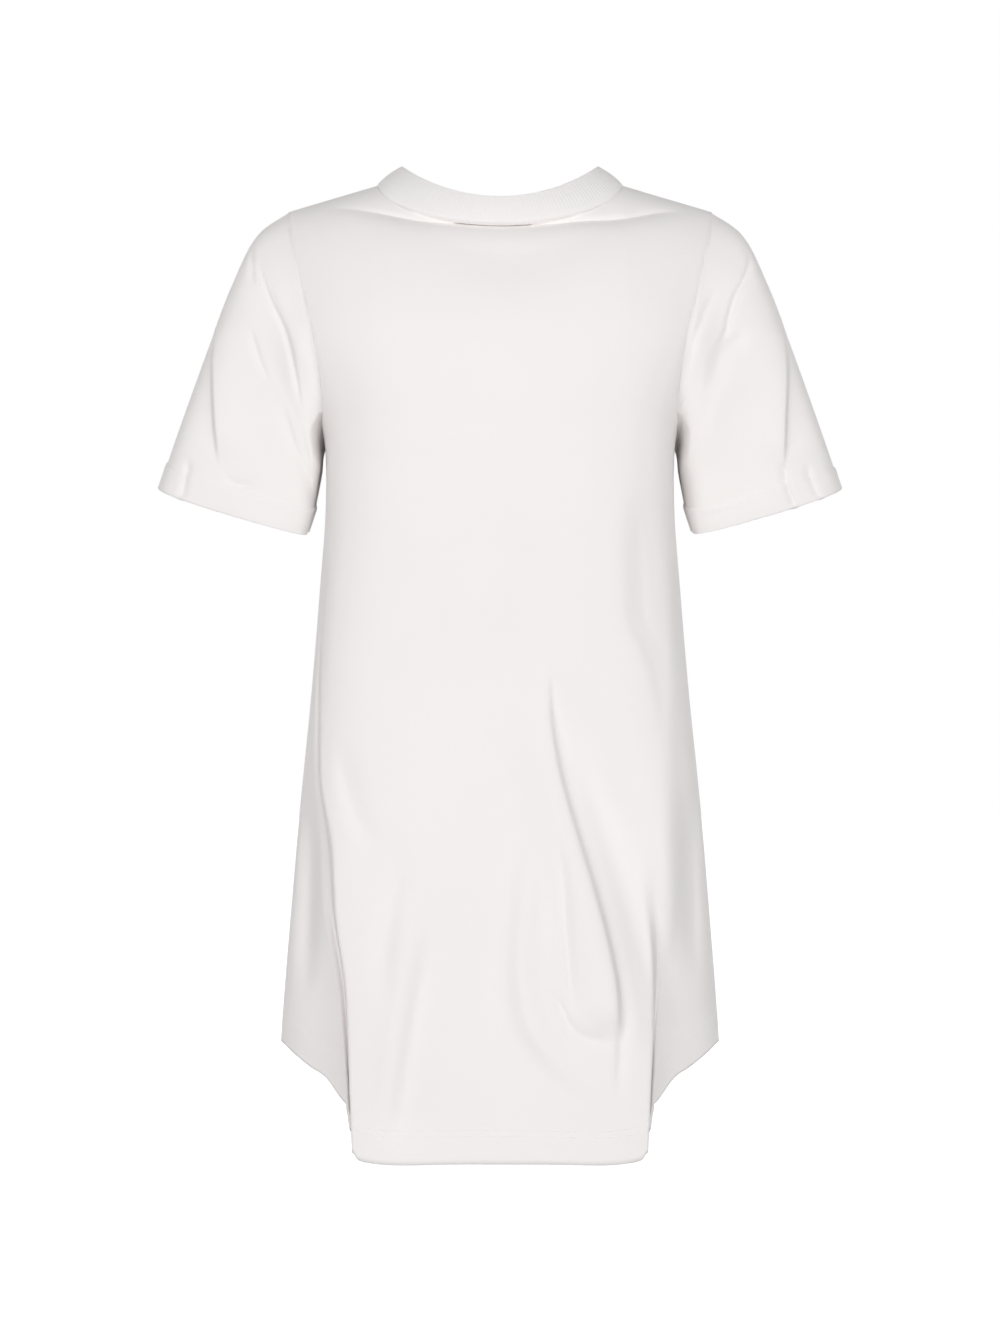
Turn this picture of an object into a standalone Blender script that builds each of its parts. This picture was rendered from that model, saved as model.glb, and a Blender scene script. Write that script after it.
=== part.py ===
"""A t-shirt dress, worn: hollow, short-sleeved, with a round rib neck and a hem that dips at the back.

Metres, +Z up. The wearer faces -Y, so the back of the dress is at +Y and the wearer's left is +X.
The origin is between the two high points of the shoulders, where the wearer holds the dress up.
Five pieces are cut and sewn: the back, the front, two set-in sleeves and the rib of the neck.
"""

from collections import namedtuple

import bpy
import numpy as np

# ---- Driving sizes, in metres ----
WALL = 0.0016
SEAM_GAP = 0.0004
UNDERARM_GAP = 0.0026

NECK_HALF_WIDTH = 0.1105
SHOULDER_HALF_WIDTH = 0.189
SHOULDER_HEIGHT = -0.0010
SHOULDER_FALL = 0.2955  # how far the shoulder seam drops for each metre outwards
BACK_NECK_DROP = 0.0385
FRONT_NECK_DROP = 0.112
NECK_CURVE = 1.2  # over 1 rounds the neck seam off where it crosses the shoulder

RIB_HALF_WIDTH = 0.088
RIB_HEIGHT = 0.016
RIB_BACK_DEPTH = 0.0620
RIB_FRONT_DEPTH = 0.080
RIB_BACK_DROP = 0.0316
RIB_FRONT_DROP = 0.1035
RIB_BACK_CURVE = 1.7
RIB_FRONT_CURVE = 1.35
RIB_SWELL = 0.0015

BACK_REACH = 0.195  # the drop over which the back rounds out to its full depth
FRONT_REACH = 0.27
BACK_ROUNDNESS = 2.0
FRONT_ROUNDNESS = 1.5

UNDERARM_HEIGHT = -0.235
LAST_LEVEL_ROW = -0.70

# ---- The body's level sections, from the shoulders down. Flatness 2 is an ellipse, and more is squarer ----
Section = namedtuple("Section", "height half_width back_depth front_depth flatness")
SECTIONS = (
    Section(0.02, 0.2150, 0.118, 0.125, 2.9),
    Section(-0.06, 0.2130, 0.118, 0.125, 2.9),
    Section(-0.10, 0.2050, 0.118, 0.125, 2.9),
    Section(-0.14, 0.1950, 0.118, 0.125, 3.0),
    Section(-0.17, 0.1770, 0.118, 0.125, 3.1),
    Section(-0.20, 0.1642, 0.117, 0.125, 3.3),
    Section(-0.22, 0.1587, 0.116, 0.125, 3.4),
    Section(-0.235, 0.1562, 0.116, 0.125, 3.5),
    Section(-0.25, 0.1552, 0.115, 0.124, 3.6),
    Section(-0.28, 0.1550, 0.114, 0.123, 3.8),
    Section(-0.37, 0.1611, 0.108, 0.119, 4.0),
    Section(-0.46, 0.1688, 0.105, 0.117, 4.2),
    Section(-0.55, 0.1781, 0.111, 0.119, 4.3),
    Section(-0.64, 0.1861, 0.119, 0.122, 4.1),
    Section(-0.73, 0.1935, 0.124, 0.124, 3.7),
    Section(-0.88, 0.2020, 0.128, 0.128, 3.4),
)

# ---- The armhole seam, seen from the back ----
Armhole = namedtuple("Armhole", "height half_width")
ARMHOLE = (
    Armhole(-0.235, 0.1562),
    Armhole(-0.20, 0.1570),
    Armhole(-0.163, 0.1615),
    Armhole(-0.127, 0.1680),
    Armhole(-0.099, 0.1750),
    Armhole(-0.072, 0.1810),
    Armhole(-0.049, 0.1860),
    Armhole(-0.0245, 0.1890),
)

# ---- The deep pleats that the back falls into on each side of its tail ----
# lip is how far out the tail's edge is, mouth is how wide the pleat opens, and depth is how deep it is.
# slant is how straight the cloth beyond the pleat runs to the side seam.
Pleat = namedtuple("Pleat", "height lip mouth depth slant")
LEFT_PLEAT = (
    Pleat(-0.13, 0.1050, 0.016, 0.0, 0.0),
    Pleat(-0.24, 0.1320, 0.010, 0.0, 0.0),
    Pleat(-0.33, 0.1480, 0.006, 0.0, 0.1),
    Pleat(-0.40, 0.1560, 0.004, 0.008, 0.3),
    Pleat(-0.48, 0.1580, 0.006, 0.024, 0.7),
    Pleat(-0.54, 0.1565, 0.008, 0.038, 1.0),
    Pleat(-0.585, 0.1480, 0.012, 0.048, 1.0),
    Pleat(-0.655, 0.1435, 0.010, 0.056, 1.0),
    Pleat(-0.715, 0.1350, 0.0080, 0.060, 1.0),
    Pleat(-0.76, 0.1328, 0.0060, 0.060, 1.0),
    Pleat(-0.80, 0.1315, 0.0048, 0.060, 1.0),
    Pleat(-0.88, 0.1280, 0.0045, 0.060, 1.0),
)
RIGHT_PLEAT = (
    Pleat(-0.13, 0.1050, 0.016, 0.0, 0.0),
    Pleat(-0.24, 0.1320, 0.010, 0.0, 0.0),
    Pleat(-0.40, 0.1360, 0.020, 0.0, 0.1),
    Pleat(-0.54, 0.1220, 0.034, 0.0, 0.25),
    Pleat(-0.62, 0.1240, 0.034, 0.004, 0.45),
    Pleat(-0.69, 0.1330, 0.016, 0.022, 0.85),
    Pleat(-0.74, 0.1345, 0.0060, 0.042, 1.0),
    Pleat(-0.80, 0.1320, 0.0045, 0.058, 1.0),
    Pleat(-0.88, 0.1280, 0.0045, 0.060, 1.0),
)
FRONT_PLEAT = (
    Pleat(-0.13, 0.1050, 0.016, 0.0, 0.0),
    Pleat(-0.24, 0.1280, 0.016, 0.0, 0.0),
    Pleat(-0.40, 0.1360, 0.020, 0.0, 0.1),
    Pleat(-0.54, 0.1300, 0.026, 0.004, 0.3),
    Pleat(-0.64, 0.1250, 0.030, 0.008, 0.5),
    Pleat(-0.74, 0.1200, 0.032, 0.012, 0.6),
    Pleat(-0.84, 0.1160, 0.034, 0.014, 0.6),
)
# Where a pleat's walls end, in mouths from its lip.
INNER_WALL_END = 0.4
FLOOR_END = 0.6
OUTER_WALL_END = 1.2
SIDE_SHARE = 0.88  # how much of the pleat's depth the cloth beyond it keeps
SIDE_BOW = 0.5  # under 1, the cloth beyond a pleat bows outwards on its way to the side seam
LEAST_SIDE = 0.25  # the least share of the way from lip to side seam that is left beyond a pleat

# ---- The largest folds: ridges where lift is over 0, troughs where it is under 0 ----
# left and right are how far each flank spreads, with left at +X. Paths run (x, height), from the top down.
Fold = namedtuple("Fold", "name lift left right path")
BACK_FOLDS = (
    Fold("long_fold", 0.0080, 0.030, 0.007,
         ((-0.041, -0.425), (-0.050, -0.521), (-0.079, -0.6214), (-0.101, -0.713), (-0.1045, -0.764))),
    Fold("long_valley", -0.0180, 0.024, 0.032,
         ((-0.058, -0.430), (-0.078, -0.521), (-0.110, -0.6214), (-0.134, -0.713), (-0.150, -0.800))),
    Fold("swag", 0.0062, 0.012, 0.014,
         ((-0.0345, -0.560), (-0.0197, -0.660), (-0.0200, -0.720), (-0.058, -0.790), (-0.099, -0.828))),
    Fold("waist_hollow", -0.0075, 0.013, 0.045,
         ((-0.127, -0.262), (-0.126, -0.340), (-0.131, -0.394), (-0.144, -0.420), (-0.155, -0.460))),
    Fold("left_trough", -0.0052, 0.012, 0.020,
         ((0.048, -0.640), (0.0645, -0.700), (0.077, -0.768), (0.088, -0.868))),
    Fold("left_side", -0.012, 0.010, 0.010,
         ((0.170, -0.540), (0.169, -0.600), (0.174, -0.740))),
    Fold("right_side", -0.011, 0.011, 0.010,
         ((-0.169, -0.520), (-0.170, -0.650), (-0.173, -0.730))),
)
FRONT_FOLDS = (
    Fold("front_left", 0.006, 0.020, 0.026,
         ((0.040, -0.420), (0.056, -0.600), (0.074, -0.800))),
    Fold("front_right", 0.005, 0.026, 0.018,
         ((-0.046, -0.480), (-0.060, -0.640), (-0.070, -0.800))),
)
FOLD_FADE = 0.22  # the share of a fold's length over which each end dies away
EDGE_ROOM = 0.006  # folds die away this close to the side seam

# ---- The hem, by how far across a panel's half it is: 0 at the middle and 1 at the side seam ----
Hem = namedtuple("Hem", "across height")
BACK_HEM = (
    Hem(0.0, -0.8692),
    Hem(0.42, -0.8690),
    Hem(0.50, -0.8672),
    Hem(0.53, -0.8655),
    Hem(0.56, -0.8595),
    Hem(0.60, -0.8585),
    Hem(0.64, -0.8480),
    Hem(0.68, -0.8310),
    Hem(0.72, -0.8215),
    Hem(0.76, -0.7990),
    Hem(0.80, -0.7902),
    Hem(0.87, -0.7778),
    Hem(0.94, -0.7700),
    Hem(1.0, -0.7690),
)
FRONT_HEM = (
    Hem(0.0, -0.8000),
    Hem(0.56, -0.7960),
    Hem(0.72, -0.7900),
    Hem(1.0, -0.7690),
)

# ---- The sleeves, from armhole to hem: the outermost and innermost points of each ring ----
Ring = namedtuple("Ring", "along out_x out_z in_x in_z back_depth front_depth")
RINGS = (
    Ring(0.0, 0.1890, -0.0242, 0.1562, -0.2350, 0.062, 0.064),
    Ring(0.14, 0.2150, -0.0430, 0.1592, -0.2440, 0.067, 0.069),
    Ring(0.34, 0.2390, -0.0890, 0.1612, -0.2580, 0.066, 0.067),
    Ring(0.56, 0.2610, -0.1455, 0.1640, -0.2735, 0.063, 0.063),
    Ring(0.78, 0.2830, -0.2060, 0.1675, -0.2900, 0.060, 0.059),
    Ring(1.0, 0.3052, -0.2690, 0.1735, -0.3080, 0.057, 0.056),
)
SLEEVE_FLATNESS = 3.6
BACK_DROOP = 0.010  # how far a sleeve's hem hangs below its two edges
FRONT_DROOP = 0.004

# ---- How finely each piece is divided ----
# Shares of the way from the shoulder to the underarm, where the armhole and the sleeve have points.
ARMHOLE_ROWS = (0.0, 0.03, 0.08, 0.15, 0.23, 0.31, 0.40, 0.50, 0.62, 0.74, 0.86, 0.95, 1.0)
BODY_ROWS = (-0.29, -0.35, -0.41, -0.47, -0.52, -0.57, -0.62, -0.66, LAST_LEVEL_ROW)
HEM_ROWS = (0.35, 0.70, 1.0)
LEVEL_FROM = 0.8  # the share of the armhole rows from which a panel's columns are spaced as lower down
NECK_COLUMNS = 8
SLEEVE_ROWS = 8
RIB_ROWS = 3
# Fixed columns of a panel's half, which the pleat's lip, floor and far edge run along.
LIP_COLUMN = 0.56
FLOOR_COLUMN = 0.64
FAR_COLUMN = 0.72
SIDE_COLUMNS = (FLOOR_COLUMN, 0.68, FAR_COLUMN, 0.80, 0.87, 0.94, 1.0)

COLLECTION = "t_shirt_dress"
JERSEY = ("white_jersey", (0.885, 0.862, 0.850, 1.0), 0.88)
RIB_KNIT = ("white_rib_knit", (0.890, 0.868, 0.860, 1.0), 0.86)


def read(rows, column, at):
    """A column's value on a smooth curve through the table's rows, which are keyed by their first column."""
    rows = sorted(rows)
    keys = np.array([row[0] for row in rows])
    values = np.array([getattr(row, column) for row in rows])
    slopes = np.gradient(values, keys)
    at = np.clip(at, keys[0], keys[-1])
    i = np.clip(np.searchsorted(keys, at) - 1, 0, len(keys) - 2)
    span = keys[i + 1] - keys[i]
    t = (at - keys[i]) / span
    start = (1 + 2 * t) * (1 - t) ** 2 * values[i] + t * (1 - t) ** 2 * span * slopes[i]
    end = t**2 * (3 - 2 * t) * values[i + 1] - t**2 * (1 - t) * span * slopes[i + 1]
    return start + end


def ease(share):
    """0 below 0 and 1 above 1, with a smooth climb between."""
    share = np.clip(share, 0.0, 1.0)
    return share * share * (3 - 2 * share)


def shoulder_line(x):
    """The height of the shoulder seam, carried on level across the neck."""
    return SHOULDER_HEIGHT - SHOULDER_FALL * np.maximum(np.abs(x) - NECK_HALF_WIDTH, 0.0)


def rounding(x, z, facing):
    """How much of its full depth the body has reached, this far below the shoulder line."""
    reach, power = (BACK_REACH, BACK_ROUNDNESS) if facing > 0 else (FRONT_REACH, FRONT_ROUNDNESS)
    left = np.clip(1 - (shoulder_line(x) - z) / reach, 0.0, 1.0)
    return np.sqrt(1 - left**power)


def body_edge(z):
    """Half the width of a panel: to the armhole seam, and below the underarm to the side seam."""
    return np.where(z > UNDERARM_HEIGHT, read(ARMHOLE, "half_width", z), read(SECTIONS, "half_width", z))


def section_angle(x, z):
    """Where a half width falls on its level section: 0 at the middle, a right angle at the side."""
    share = np.clip(np.abs(x) / read(SECTIONS, "half_width", z), 0.0, 1.0)
    return np.arcsin(share ** (read(SECTIONS, "flatness", z) / 2))


def smooth_depth(x, z, facing):
    """The y of the unfolded body at (x, z): the back where facing is 1, the front where it is -1."""
    depth = read(SECTIONS, "back_depth" if facing > 0 else "front_depth", z)
    across = np.cos(section_angle(x, z)) ** (2 / read(SECTIONS, "flatness", z))
    return facing * depth * across * rounding(x, z, facing)


def pleat_for(side, facing):
    """The table of the pleat on one side of a panel."""
    if facing < 0:
        return FRONT_PLEAT
    return LEFT_PLEAT if side > 0 else RIGHT_PLEAT


def pleated_depth(x, z, half, facing):
    """The y of the pleated body at (x, z), with the cloth beyond the pleat that slants to the side seam."""
    table = pleat_for(half, facing)
    lip = read(table, "lip", z)
    mouth = read(table, "mouth", z)
    depth = np.maximum(read(table, "depth", z), 0.0)
    slant = read(table, "slant", z)
    out = np.abs(x)
    edge = body_edge(z)
    inner = ease((out - lip) / (INNER_WALL_END * mouth))
    outer = ease((out - lip - FLOOR_END * mouth) / ((OUTER_WALL_END - FLOOR_END) * mouth))
    smooth = smooth_depth(x, z, facing)
    start = smooth_depth(lip, z, facing) - facing * depth * SIDE_SHARE
    side = start * np.clip((edge - out) / (edge - lip), 0.0, 1.0) ** SIDE_BOW
    beyond = smooth * (1 - slant) + side * slant
    return (smooth - facing * depth * inner) * (1 - outer) + beyond * outer


def fold_lift(fold, x, z):
    """How far one fold lifts the cloth at (x, z)."""
    path = np.array(fold.path)
    order = np.argsort(path[:, 1])
    heights, places = path[order, 1], path[order, 0]
    slopes = np.gradient(places, heights)
    along = np.clip((z - heights[0]) / (heights[-1] - heights[0]), 0.0, 1.0)
    fade = ease(along / FOLD_FADE) * ease((1 - along) / FOLD_FADE)
    off = (x - np.interp(z, heights, places)) / np.sqrt(1 + np.interp(z, heights, slopes) ** 2)
    spread = np.where(off > 0, fold.left, fold.right)
    return fold.lift * fade * np.exp(-((off / spread) ** 2))


def body_point(x, z, side, facing):
    """A point of the folded body, for arrays of x and z on one side of the middle."""
    y = pleated_depth(x, z, side, facing)
    room = ease((body_edge(z) - np.abs(x)) / EDGE_ROOM)
    for fold in BACK_FOLDS if facing > 0 else FRONT_FOLDS:
        y = y + facing * fold_lift(fold, x, z) * room
    return np.stack([x, y, z], axis=-1)


def neck_seam(share, facing):
    """(x, z) of the neck seam: share is 0 at the middle and 1 at the shoulder."""
    angle = share * np.pi / 2
    drop = BACK_NECK_DROP if facing > 0 else FRONT_NECK_DROP
    return NECK_HALF_WIDTH * np.sin(angle), SHOULDER_HEIGHT - drop * np.cos(angle) ** NECK_CURVE


def top_edge(across, facing):
    """(x, z) along a panel's top: the neck seam, then the shoulder seam."""
    x_neck, z_neck = neck_seam(np.clip(across / LIP_COLUMN, 0.0, 1.0), facing)
    out = np.clip((across - LIP_COLUMN) / (1 - LIP_COLUMN), 0.0, 1.0)
    x = x_neck + out * (SHOULDER_HALF_WIDTH - NECK_HALF_WIDTH)
    return x, np.where(out > 0, shoulder_line(x), z_neck)


def level_x(across, z, side, facing):
    """The x of each column on a level row, with the fixed columns along the pleat."""
    table = pleat_for(side, facing)
    lip, mouth = read(table, "lip", z), read(table, "mouth", z)
    edge = body_edge(z)
    far = np.minimum(lip + OUTER_WALL_END * mouth, edge - LEAST_SIDE * (edge - lip))
    marks = np.array([0.0, lip, lip + FLOOR_END * mouth, far, edge])
    angles = np.interp(
        across,
        (0.0, LIP_COLUMN, FLOOR_COLUMN, FAR_COLUMN, 1.0),
        section_angle(marks, z),
    )
    return read(SECTIONS, "half_width", z) * np.sin(angles) ** (2 / read(SECTIONS, "flatness", z))


def panel_half(across, side, facing):
    """The rows of points of one half of a panel, from its top edge to its hem."""
    x_top, z_top = top_edge(across, facing)
    rows = []
    for share in ARMHOLE_ROWS:
        z = z_top + share * (UNDERARM_HEIGHT - z_top)
        level = np.array([level_x(c, h, side, facing) for c, h in zip(across, z)])
        top = x_top * body_edge(z) / SHOULDER_HALF_WIDTH
        x = top + (level - top) * ease(share / LEVEL_FROM)
        rows.append((np.where(share > 0, x, x_top), z))
    for height in BODY_ROWS:
        rows.append((level_x(across, height, side, facing), np.full_like(across, height)))
    hem = read(BACK_HEM if facing > 0 else FRONT_HEM, "height", across)
    for share in HEM_ROWS:
        z = LAST_LEVEL_ROW + share * (hem - LAST_LEVEL_ROW)
        x = np.array([level_x(c, h, side, facing) for c, h in zip(across, z)])
        rows.append((x, z))
    return np.array([body_point(side * x, z, side, facing) for x, z in rows])


def panel(facing):
    """The grid of points of the back or the front, from the wearer's left to the right."""
    neck = np.linspace(0.0, LIP_COLUMN, NECK_COLUMNS + 1)
    across = np.concatenate([neck, SIDE_COLUMNS])
    left = panel_half(across, 1, facing)[:, ::-1]
    right = panel_half(across, -1, facing)[:, 1:]
    grid = np.concatenate([left, right], axis=1)
    grid[..., 1] += facing * SEAM_GAP
    return grid


def armhole_loop():
    """The armhole seam on the wearer's left, as a closed loop that starts at the shoulder and goes down the back."""
    top = shoulder_line(SHOULDER_HALF_WIDTH)
    z = top + np.array(ARMHOLE_ROWS) * (UNDERARM_HEIGHT - top)
    x = body_edge(z)
    back = np.stack([x, smooth_depth(x, z, 1), z], axis=-1)
    front = np.stack([x, smooth_depth(x, z, -1), z], axis=-1)
    return np.concatenate([back, front[-2:0:-1]])


def sleeve():
    """The rings of points of the left sleeve, from the armhole to its hem."""
    loop = armhole_loop()
    top, bottom = loop[0, 2], UNDERARM_HEIGHT
    cosine = np.clip(2 * (loop[:, 2] - bottom) / (top - bottom) - 1, -1.0, 1.0)
    back = np.arange(len(loop)) <= len(loop) // 2
    sine = np.sqrt(1 - cosine**2) * np.where(back, 1.0, -1.0)
    bow = np.sign(sine) * np.abs(sine) ** (2 / SLEEVE_FLATNESS)
    first = loop.copy()
    under = (1 - cosine) / 2
    first[:, 0] += SEAM_GAP + (UNDERARM_GAP - SEAM_GAP) * under**2
    rings = [first]
    for along in np.linspace(0.0, 1.0, SLEEVE_ROWS + 1)[1:]:
        out_x, out_z, in_x, in_z = (read(RINGS, name, along) for name in ("out_x", "out_z", "in_x", "in_z"))
        depth = np.where(back, read(RINGS, "back_depth", along), read(RINGS, "front_depth", along))
        x = (out_x + in_x) / 2 + cosine * (out_x - in_x) / 2
        z = (out_z + in_z) / 2 + cosine * (out_z - in_z) / 2
        z = z - np.abs(bow) * np.where(back, BACK_DROOP, FRONT_DROOP) * along**2
        ring = np.stack([x, bow * depth, z], axis=-1)
        blend = ease(1 - along / RINGS[2].along) if along < RINGS[2].along else 0.0
        ring[:, 1] = ring[:, 1] * (1 - blend) + loop[:, 1] * blend
        rings.append(ring)
    return np.array(rings)


def rib():
    """The loops of points of the neck rib, from its seam to its top edge."""
    share = np.linspace(0.0, 1.0, NECK_COLUMNS + 1)
    loops = []
    for facing in (1, -1):
        x, z = neck_seam(share, facing)
        seam = np.stack([x, smooth_depth(x, z, facing), z], axis=-1)
        angle = share * np.pi / 2
        if facing > 0:
            depth, drop, curve = RIB_BACK_DEPTH, RIB_BACK_DROP, RIB_BACK_CURVE
        else:
            depth, drop, curve = RIB_FRONT_DEPTH, RIB_FRONT_DROP, RIB_FRONT_CURVE
        top = np.stack(
            [
                RIB_HALF_WIDTH * np.sin(angle),
                facing * depth * np.cos(angle),
                RIB_HEIGHT - drop * np.cos(angle) ** curve,
            ],
            axis=-1,
        )
        loops.append((seam, top))
    # Around the neck: left back, left front, right front, right back, without the points they share.
    (seam_back, top_back), (seam_front, top_front) = loops
    mirror = np.array([-1.0, 1.0, 1.0])
    seam, top = (
        np.concatenate([back, front[-2::-1], front[1:] * mirror, back[-2:0:-1] * mirror])
        for back, front in ((seam_back, seam_front), (top_back, top_front))
    )
    up = (top - seam) / np.linalg.norm(top - seam, axis=1)[:, None]
    around = np.roll(seam, -1, axis=0) - np.roll(seam, 1, axis=0)
    out = np.cross(up, around)
    out /= np.linalg.norm(out, axis=1)[:, None]
    low = seam + up * (WALL / 2 + SEAM_GAP)
    rows = []
    for share in np.linspace(0.0, 1.0, RIB_ROWS + 1):
        swell = RIB_SWELL * np.sin(np.pi * share)
        rows.append(low + (top - low) * share + out * swell)
    return np.array(rows)


def material(name, colour, roughness):
    """A plain cloth material."""
    made = bpy.data.materials.new(name)
    made.use_nodes = True
    shader = made.node_tree.nodes["Principled BSDF"]
    shader.inputs["Base Color"].default_value = colour
    shader.inputs["Roughness"].default_value = roughness
    shader.inputs["Metallic"].default_value = 0.0
    made.diffuse_color = colour
    return made


def sew(name, grid, closed, finish, collection):
    """Makes a wall of cloth on a grid of points whose columns run around or across, and whose rows run down."""
    rows, columns = grid.shape[:2]
    last = columns if closed else columns - 1
    faces = []
    for row in range(rows - 1):
        for column in range(last):
            after = (column + 1) % columns
            faces.append(
                (
                    row * columns + column,
                    (row + 1) * columns + column,
                    (row + 1) * columns + after,
                    row * columns + after,
                )
            )
    mesh = bpy.data.meshes.new(name)
    mesh.from_pydata(grid.reshape(-1, 3).tolist(), [], faces)
    mesh.validate()
    mesh.shade_smooth()
    mesh.materials.append(finish)
    piece = bpy.data.objects.new(name, mesh)
    collection.objects.link(piece)
    wall = piece.modifiers.new("Wall", "SOLIDIFY")
    wall.thickness = WALL
    wall.offset = 0.0
    return piece


def main():
    for thing in list(bpy.data.objects):
        bpy.data.objects.remove(thing, do_unlink=True)
    collection = bpy.data.collections.new(COLLECTION)
    bpy.context.scene.collection.children.link(collection)
    jersey = material(*JERSEY)
    rib_knit = material(*RIB_KNIT)
    sew("back_panel", panel(1), False, jersey, collection)
    sew("front_panel", panel(-1)[:, ::-1], False, jersey, collection)
    left = sleeve()
    sew("sleeve_left", left[:, ::-1], True, jersey, collection)
    sew("sleeve_right", left * np.array([-1.0, 1.0, 1.0]), True, jersey, collection)
    sew("neck_rib", rib(), True, rib_knit, collection)


main()
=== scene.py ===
"""The looks of a white t-shirt dress, worn and seen from behind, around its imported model.

Every piece of cloth is a closed thin shell on the form of its solid, with its folds, creases, turned
hems, seams and stitches. Metres, +Z up; the back of the dress is at +Y and the wearer's left at +X.
"""

import math
from collections import namedtuple

import bpy
import numpy as np
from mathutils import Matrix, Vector


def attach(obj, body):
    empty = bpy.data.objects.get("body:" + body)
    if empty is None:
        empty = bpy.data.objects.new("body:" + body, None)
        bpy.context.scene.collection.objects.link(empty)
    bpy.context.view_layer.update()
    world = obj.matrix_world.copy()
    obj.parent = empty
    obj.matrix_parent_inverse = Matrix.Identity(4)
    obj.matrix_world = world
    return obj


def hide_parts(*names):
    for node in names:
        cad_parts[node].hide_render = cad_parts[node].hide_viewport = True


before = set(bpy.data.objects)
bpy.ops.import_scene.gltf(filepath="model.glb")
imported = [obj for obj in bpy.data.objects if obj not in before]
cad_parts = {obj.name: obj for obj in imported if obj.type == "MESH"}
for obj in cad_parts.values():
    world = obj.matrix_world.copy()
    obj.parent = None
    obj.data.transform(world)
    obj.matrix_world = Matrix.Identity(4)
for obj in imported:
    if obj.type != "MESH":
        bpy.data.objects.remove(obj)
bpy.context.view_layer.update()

# ---- Cloth, in metres ----
OUTER_FACE = 0.0008  # the cloth's right side lies on the solid's outer face
CLOTH_THICK = 0.0011
HEM_THICK = 0.0024  # two layers, where the hem is turned up inside
BODY_HEM_WIDTH = 0.033
SLEEVE_HEM_WIDTH = 0.024
HEM_RISE = 0.00015  # how far a turned hem stands out
HEM_STEP = 0.0015  # the distance over which it does
HEM_DITCH_DEPTH = 0.00025  # the needles pull the cloth in beside the hem's upper edge
HEM_DITCH_WIDTH = 0.0022
HEM_DITCH_BELOW = 0.003
SEAM_DEPTH = 0.0006
SEAM_WIDTH = 0.0009
UNEVENNESS = 0.0005
BODY_WAVE = 0.09  # how long the unevenness's waves are
SLEEVE_WAVE = 0.06
SOFTNESS = 0.0009  # how far a fold's edge is rounded off

# ---- The cut: the solids' sizes, with squarer sleeves and an evener turn at the underarm ----
NECK_HALF_WIDTH = 0.1105
SHOULDER_HALF_WIDTH = 0.189
SHOULDER_HEIGHT = -0.0010
SHOULDER_FALL = 0.2955
BACK_NECK_DROP = 0.0385
FRONT_NECK_DROP = 0.112
NECK_CURVE = 1.2

RIB_HALF_WIDTH = 0.088
RIB_HEIGHT = 0.016
RIB_BACK_DEPTH = 0.0620
RIB_FRONT_DEPTH = 0.080
RIB_BACK_DROP = 0.0316
RIB_FRONT_DROP = 0.1035
RIB_BACK_CURVE = 1.7
RIB_FRONT_CURVE = 1.35

BACK_REACH = 0.195
FRONT_REACH = 0.27
BACK_ROUNDNESS = 2.0
FRONT_ROUNDNESS = 1.5
UNDERARM_HEIGHT = -0.235
UNDERARM_CURVE = 0.050  # how far over the underarm the armhole seam has left the side
UNDERARM_REACH = 0.9
LAST_LEVEL_ROW = -0.70
LEVEL_FROM = 0.8  # the share of the yoke from which a panel's columns are spaced as lower down

# The body's level sections. Flatness 2 is an ellipse, and more is squarer.
Section = namedtuple("Section", "height half_width back_depth front_depth flatness")
SECTIONS = (
    Section(0.02, 0.2150, 0.118, 0.125, 2.9),
    Section(-0.06, 0.2130, 0.118, 0.125, 2.9),
    Section(-0.10, 0.2050, 0.118, 0.125, 2.9),
    Section(-0.14, 0.1950, 0.118, 0.125, 3.0),
    Section(-0.17, 0.1770, 0.118, 0.125, 3.1),
    Section(-0.20, 0.1642, 0.117, 0.125, 3.3),
    Section(-0.22, 0.1587, 0.116, 0.125, 3.4),
    Section(-0.235, 0.1562, 0.116, 0.125, 3.5),
    Section(-0.25, 0.1552, 0.115, 0.124, 3.6),
    Section(-0.28, 0.1550, 0.114, 0.123, 3.8),
    Section(-0.37, 0.1611, 0.108, 0.119, 4.0),
    Section(-0.46, 0.1688, 0.105, 0.117, 4.2),
    Section(-0.55, 0.1781, 0.111, 0.119, 4.3),
    Section(-0.64, 0.1861, 0.119, 0.122, 4.1),
    Section(-0.73, 0.1935, 0.124, 0.124, 3.7),
    Section(-0.88, 0.2020, 0.128, 0.128, 3.4),
)

Armhole = namedtuple("Armhole", "height half_width")
ARMHOLE = (
    Armhole(-0.235, 0.1562),
    Armhole(-0.20, 0.1570),
    Armhole(-0.163, 0.1615),
    Armhole(-0.127, 0.1680),
    Armhole(-0.099, 0.1750),
    Armhole(-0.072, 0.1810),
    Armhole(-0.049, 0.1860),
    Armhole(-0.0245, 0.1890),
)

# A pleat's lip is where the cloth turns in, and slant is how straight the cloth beyond it runs to the side.
Pleat = namedtuple("Pleat", "height lip mouth depth slant")
LEFT_PLEAT = (
    Pleat(-0.13, 0.1050, 0.016, 0.0, 0.0),
    Pleat(-0.24, 0.1320, 0.010, 0.0, 0.0),
    Pleat(-0.33, 0.1480, 0.006, 0.0, 0.1),
    Pleat(-0.40, 0.1560, 0.004, 0.008, 0.3),
    Pleat(-0.48, 0.1580, 0.006, 0.024, 0.7),
    Pleat(-0.54, 0.1565, 0.008, 0.038, 1.0),
    Pleat(-0.585, 0.1480, 0.012, 0.048, 1.0),
    Pleat(-0.655, 0.1435, 0.010, 0.056, 1.0),
    Pleat(-0.715, 0.1350, 0.0080, 0.060, 1.0),
    Pleat(-0.76, 0.1328, 0.0060, 0.060, 1.0),
    Pleat(-0.80, 0.1315, 0.0048, 0.060, 1.0),
    Pleat(-0.88, 0.1280, 0.0045, 0.060, 1.0),
)
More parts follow.
